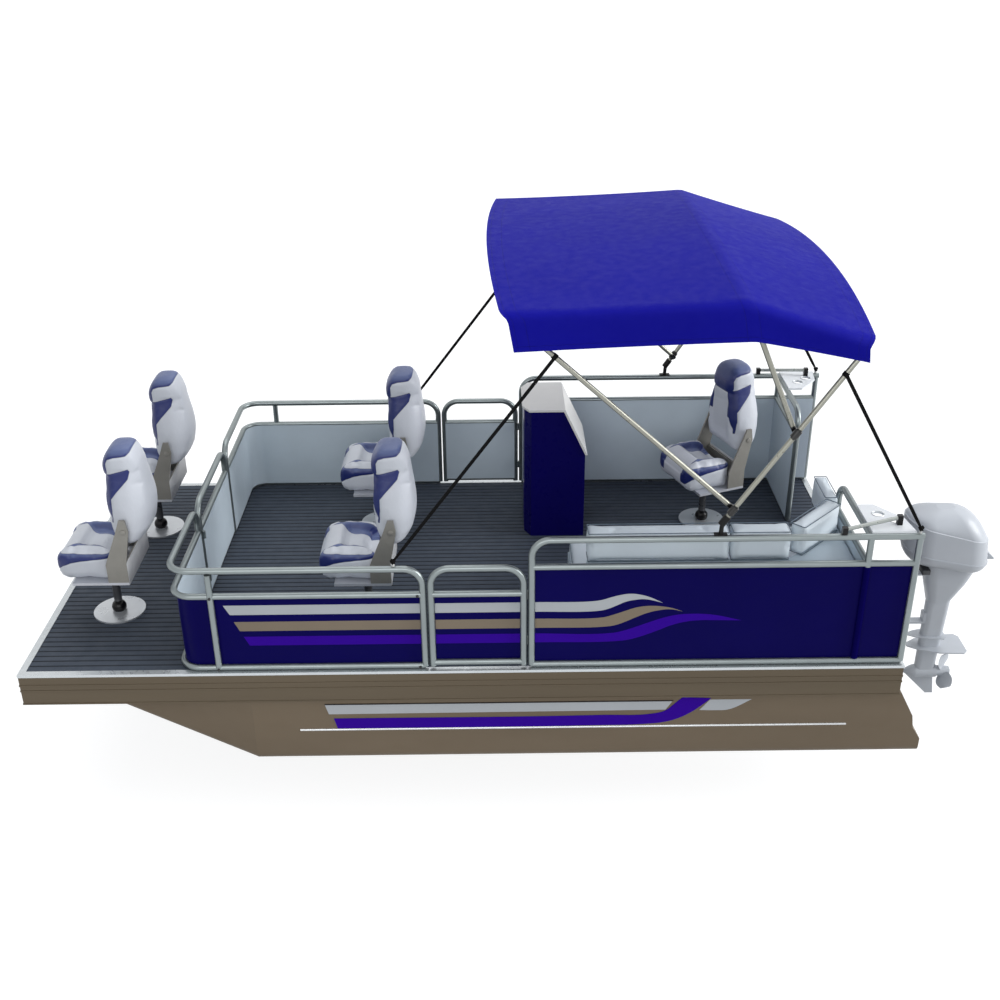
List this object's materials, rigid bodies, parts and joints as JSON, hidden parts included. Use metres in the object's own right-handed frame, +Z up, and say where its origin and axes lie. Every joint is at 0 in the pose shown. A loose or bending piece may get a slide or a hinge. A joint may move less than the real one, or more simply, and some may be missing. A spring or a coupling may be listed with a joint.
{
  "type": "pontoon boat",
  "caption": "Twin-hull deck boat with a railed cockpit, swivel seats, an aft lounge, a helm console, a folding sun top and a tilting outboard motor",
  "frame": {"origin": "on the centreline at half the deck's length, on the waterline", "axes": "-X towards the bow, +X towards the stern, -Y port, +Y starboard, +Z up"},
  "size_m": [5.9769, 2.44, 3.3157],
  "materials": {
    "pontoon_paint": "satin taupe paint over sheet metal, with stripes",
    "rail_strip": "bright extruded strip",
    "underframe_metal": "mill finish extrusion",
    "deck_covering": "ribbed woven vinyl, matt",
    "skirt_paint": "satin bronze paint on extrusion",
    "trim_metal": "polished edge trim",
    "fence_tube": "bright anodised bent tube",
    "fence_sheet": "gloss navy sheet with stripes, pale inside",
    "plate_white": "white moulded plate",
    "console_navy": "navy gel-coated moulding",
    "console_cream": "cream gel-coated moulding",
    "lounge_moulding": "rotationally moulded base",
    "lounge_vinyl": "pale marine vinyl over foam",
    "seat_vinyl": "white and navy marine vinyl over foam",
    "seat_metal": "taupe-grey coated sheet",
    "pedestal_metal": "bright post and foot with a black collar",
    "top_tube": "bright bent tube with black fittings",
    "fitting_black": "black moulded fittings",
    "top_cloth": "royal blue woven acrylic",
    "strap_webbing": "black webbing",
    "brace_tube": "bright tube with black ends",
    "pod_metal": "welded plate",
    "motor_white": "light grey-white gloss paint",
    "motor_block": "plain block standing for the engine",
    "propeller_metal": "light grey cast blades"
  },
  "bodies": {
    "hull": {"pontoons": "pontoon_paint", "spray_rails": "rail_strip", "cross_members": "underframe_metal", "deck": "deck_covering", "deck_skirt": "skirt_paint", "deck_edge_trim": "trim_metal", "fence_frames_forward": "fence_tube", "fence_panels_forward": "fence_sheet", "fence_frames_aft": "fence_tube", "fence_panels_aft": "fence_sheet", "corner_plates": "plate_white", "console_body": "console_navy", "console_cap": "console_cream", "lounge_base": "lounge_moulding", "lounge_cushions": "lounge_vinyl", "lounge_bolsters": "lounge_vinyl", "seat_pedestals": "pedestal_metal", "top_rail_fittings": "fitting_black", "top_bow_rear": "top_tube", "top_canopy": "top_cloth", "top_straps_front": "strap_webbing", "top_straps_rear": "strap_webbing", "top_braces": "brace_tube", "motor_pod": "pod_metal", "motor_clamp": "motor_white"},
    "gate_port": {"gate_frame_port": "fence_tube", "gate_panel_port": "fence_sheet"},
    "gate_starboard": {"gate_frame_starboard": "fence_tube", "gate_panel_starboard": "fence_sheet"},
    "gate_bow": {"gate_frame_bow": "fence_tube", "gate_panel_bow": "fence_sheet"},
    "seat_bow_port": {"seat_bracket_bow_port": "seat_metal", "seat_cushion_bow_port": "seat_vinyl"},
    "seat_bow_port_back": {"seat_back_bow_port": "seat_vinyl"},
    "seat_bow_starboard": {"seat_bracket_bow_starboard": "seat_metal", "seat_cushion_bow_starboard": "seat_vinyl"},
    "seat_bow_starboard_back": {"seat_back_bow_starboard": "seat_vinyl"},
    "seat_mid_port": {"seat_bracket_mid_port": "seat_metal", "seat_cushion_mid_port": "seat_vinyl"},
    "seat_mid_port_back": {"seat_back_mid_port": "seat_vinyl"},
    "seat_mid_starboard": {"seat_bracket_mid_starboard": "seat_metal", "seat_cushion_mid_starboard": "seat_vinyl"},
    "seat_mid_starboard_back": {"seat_back_mid_starboard": "seat_vinyl"},
    "seat_helm": {"seat_bracket_helm": "seat_metal", "seat_cushion_helm": "seat_vinyl"},
    "seat_helm_back": {"seat_back_helm": "seat_vinyl"},
    "top_front": {"top_bow_front": "top_tube"},
    "top_middle": {"top_bow_middle": "top_tube"},
    "motor_bracket": {"motor_swivel": "motor_white"},
    "motor": {"motor_cowl": "motor_white", "motor_lower_cowl": "motor_white", "motor_powerhead": "motor_block", "motor_leg": "motor_white"},
    "propeller": {"motor_propeller": "propeller_metal"}
  },
  "joints": [
    {"name": "gate_port_hinge", "type": "hinge", "parent": "hull", "child": "gate_port", "pos_m": [0.376, -1.156, 0.58], "axis": [0, 0, -1], "range_deg": [0, 90]},
    {"name": "gate_starboard_hinge", "type": "hinge", "parent": "hull", "child": "gate_starboard", "pos_m": [0.376, 1.156, 0.58], "axis": [0, 0, 1], "range_deg": [0, 90]},
    {"name": "gate_bow_hinge", "type": "hinge", "parent": "hull", "child": "gate_bow", "pos_m": [-1.568, -0.42, 0.58], "axis": [0, 0, -1], "range_deg": [0, 70]},
    {"name": "seat_bow_port_swivel", "type": "hinge", "parent": "hull", "child": "seat_bow_port", "pos_m": [-2.117, -0.535, 0.72], "axis": [0, 0, 1], "continuous": true},
    {"name": "seat_bow_port_back_fold", "type": "hinge", "parent": "seat_bow_port", "child": "seat_bow_port_back", "pos_m": [-1.941, -0.535, 1.088], "axis": [0, -1, 0], "range_deg": [0, 90]},
    {"name": "seat_bow_starboard_swivel", "type": "hinge", "parent": "hull", "child": "seat_bow_starboard", "pos_m": [-2.117, 0.535, 0.72], "axis": [0, 0, 1], "continuous": true},
    {"name": "seat_bow_starboard_back_fold", "type": "hinge", "parent": "seat_bow_starboard", "child": "seat_bow_starboard_back", "pos_m": [-1.941, 0.535, 1.088], "axis": [0, -1, 0], "range_deg": [0, 90]},
    {"name": "seat_mid_port_swivel", "type": "hinge", "parent": "hull", "child": "seat_mid_port", "pos_m": [-0.575, -0.575, 0.72], "axis": [0, 0, 1], "continuous": true},
    {"name": "seat_mid_port_back_fold", "type": "hinge", "parent": "seat_mid_port", "child": "seat_mid_port_back", "pos_m": [-0.399, -0.575, 1.088], "axis": [0, -1, 0], "range_deg": [0, 90]},
    {"name": "seat_mid_starboard_swivel", "type": "hinge", "parent": "hull", "child": "seat_mid_starboard", "pos_m": [-0.575, 0.575, 0.72], "axis": [0, 0, 1], "continuous": true},
    {"name": "seat_mid_starboard_back_fold", "type": "hinge", "parent": "seat_mid_starboard", "child": "seat_mid_starboard_back", "pos_m": [-0.399, 0.575, 1.088], "axis": [0, -1, 0], "range_deg": [0, 90]},
    {"name": "seat_helm_swivel", "type": "hinge", "parent": "hull", "child": "seat_helm", "pos_m": [1.638, 0.57, 0.72], "axis": [0, 0, 1], "continuous": true},
    {"name": "seat_helm_back_fold", "type": "hinge", "parent": "seat_helm", "child": "seat_helm_back", "pos_m": [1.80118, 0.63593, 1.088], "axis": [0.3746, -0.9272, 0], "range_deg": [0, 90]},
    {"name": "top_fold", "type": "hinge", "parent": "hull", "child": "top_front", "pos_m": [1.46967, 0, 1.41003], "axis": [0, 1, 0], "range_deg": [0, 74], "deforming": ["top_canopy", "top_straps_front"]},
    {"name": "top_middle_fold", "type": "hinge", "parent": "hull", "child": "top_middle", "pos_m": [1.76239, 0, 1.85214], "axis": [0, 1, 0], "range_deg": [0, 52.6]},
    {"name": "motor_tilt", "type": "hinge", "parent": "hull", "child": "motor_bracket", "pos_m": [2.838, 0, 0.292], "axis": [0, -1, 0], "range_deg": [0, 65]},
    {"name": "motor_steer", "type": "hinge", "parent": "motor_bracket", "child": "motor", "pos_m": [2.945, 0, 0.1], "axis": [0, 0, 1], "range_deg": [-30, 30]},
    {"name": "propeller_spin", "type": "hinge", "parent": "motor", "child": "propeller", "pos_m": [3.27, 0, -0.478], "axis": [1, 0, 0], "continuous": true}
  ],
  "couplings": [
    {"joint": "top_middle_fold", "follows": "top_fold", "ratio": 0.71}
  ]
}
